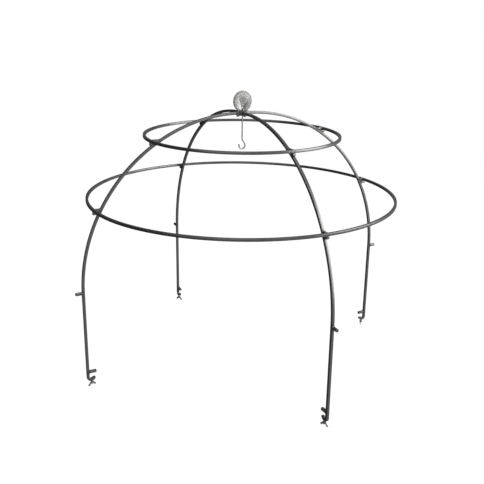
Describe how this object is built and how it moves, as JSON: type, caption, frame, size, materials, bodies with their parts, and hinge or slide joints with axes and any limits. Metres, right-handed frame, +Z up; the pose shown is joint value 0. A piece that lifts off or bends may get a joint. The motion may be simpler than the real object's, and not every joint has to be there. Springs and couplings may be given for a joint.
{
  "type": "hanging dome for a fire plate",
  "caption": "Dome of bent square bar with two loose hanging rings, a central hook under an upright medallion, and clamp feet with wing screws for the rim of a round fire plate.",
  "frame": {"origin": "on the dome's axis, at the height of the wing screws' lowest tips, where the dome stands when it is off its plate", "axes": "+Z up along the dome's axis; the four legs stand towards +X, +Y, -X and -Y; the medallion's faces look along +Y and -Y"},
  "size_m": [1.0616, 1.0616, 0.8486],
  "materials": {
    "leg_bar": "satin square steel bar, oiled, dark grey",
    "ring_bar": "satin square steel bar, oiled, dark grey",
    "peg_bar": "satin square steel bar, darkened at the welds",
    "hub_steel": "satin machined steel, oiled",
    "medallion_steel": "brushed bare steel plate",
    "hook_wire": "bright drawn wire",
    "zinc_screw": "dull zinc plate"
  },
  "bodies": {
    "frame": {"hub": "hub_steel", "hub_screws": "zinc_screw", "medallion": "medallion_steel", "right_leg": "leg_bar", "right_lower_rest": "peg_bar", "right_lower_stop": "peg_bar", "right_upper_rest": "peg_bar", "right_upper_stop": "peg_bar", "right_free_peg": "peg_bar", "right_prong": "peg_bar", "back_leg": "leg_bar", "back_lower_rest": "peg_bar", "back_lower_stop": "peg_bar", "back_upper_rest": "peg_bar", "back_upper_stop": "peg_bar", "back_free_peg": "peg_bar", "back_prong": "peg_bar", "left_leg": "leg_bar", "left_lower_rest": "peg_bar", "left_lower_stop": "peg_bar", "left_upper_rest": "peg_bar", "left_upper_stop": "peg_bar", "left_free_peg": "peg_bar", "left_prong": "peg_bar", "front_leg": "leg_bar", "front_lower_rest": "peg_bar", "front_lower_stop": "peg_bar", "front_upper_rest": "peg_bar", "front_upper_stop": "peg_bar", "front_free_peg": "peg_bar", "front_prong": "peg_bar"},
    "upper_ring": {"upper_ring": "ring_bar"},
    "lower_ring": {"lower_ring": "ring_bar"},
    "hook": {"hook": "hook_wire"},
    "right_thread": {"right_screw_thread": "zinc_screw"},
    "right_wings": {"right_screw_wings": "zinc_screw"},
    "back_thread": {"back_screw_thread": "zinc_screw"},
    "back_wings": {"back_screw_wings": "zinc_screw"},
    "left_thread": {"left_screw_thread": "zinc_screw"},
    "left_wings": {"left_screw_wings": "zinc_screw"},
    "front_thread": {"front_screw_thread": "zinc_screw"},
    "front_wings": {"front_screw_wings": "zinc_screw"}
  },
  "joints": [
    {"name": "upper_ring_lift", "type": "slide", "parent": "frame", "child": "upper_ring", "axis": [0, 0, 1], "range_m": [0, 0.15]},
    {"name": "lower_ring_lift", "type": "slide", "parent": "frame", "child": "lower_ring", "axis": [0, 0, 1], "range_m": [0, 0.33]},
    {"name": "hook_swing", "type": "hinge", "parent": "frame", "child": "hook", "pos_m": [0, 0, 0.796], "axis": [0, 1, 0], "range_deg": [-14, 14]},
    {"name": "right_screw_feed", "type": "slide", "parent": "frame", "child": "right_thread", "axis": [0, 0, 1], "range_m": [-0.005, 0.0036]},
    {"name": "right_screw_turn", "type": "hinge", "parent": "right_thread", "child": "right_wings", "pos_m": [0.497, 0, 0.01], "axis": [0, 0, 1], "range_deg": [-2250, 1620]},
    {"name": "back_screw_feed", "type": "slide", "parent": "frame", "child": "back_thread", "axis": [0, 0, 1], "range_m": [-0.005, 0.0036]},
    {"name": "back_screw_turn", "type": "hinge", "parent": "back_thread", "child": "back_wings", "pos_m": [0, 0.497, 0.01], "axis": [0, 0, 1], "range_deg": [-2250, 1620]},
    {"name": "left_screw_feed", "type": "slide", "parent": "frame", "child": "left_thread", "axis": [0, 0, 1], "range_m": [-0.005, 0.0036]},
    {"name": "left_screw_turn", "type": "hinge", "parent": "left_thread", "child": "left_wings", "pos_m": [-0.497, 0, 0.01], "axis": [0, 0, 1], "range_deg": [-2250, 1620]},
    {"name": "front_screw_feed", "type": "slide", "parent": "frame", "child": "front_thread", "axis": [0, 0, 1], "range_m": [-0.005, 0.0036]},
    {"name": "front_screw_turn", "type": "hinge", "parent": "front_thread", "child": "front_wings", "pos_m": [0, -0.497, 0.01], "axis": [0, 0, 1], "range_deg": [-2250, 1620]}
  ],
  "couplings": [
    {"joint": "right_screw_feed", "follows": "right_screw_turn", "m_per_rad": 0.00012732},
    {"joint": "back_screw_feed", "follows": "back_screw_turn", "m_per_rad": 0.00012732},
    {"joint": "left_screw_feed", "follows": "left_screw_turn", "m_per_rad": 0.00012732},
    {"joint": "front_screw_feed", "follows": "front_screw_turn", "m_per_rad": 0.00012732}
  ]
}
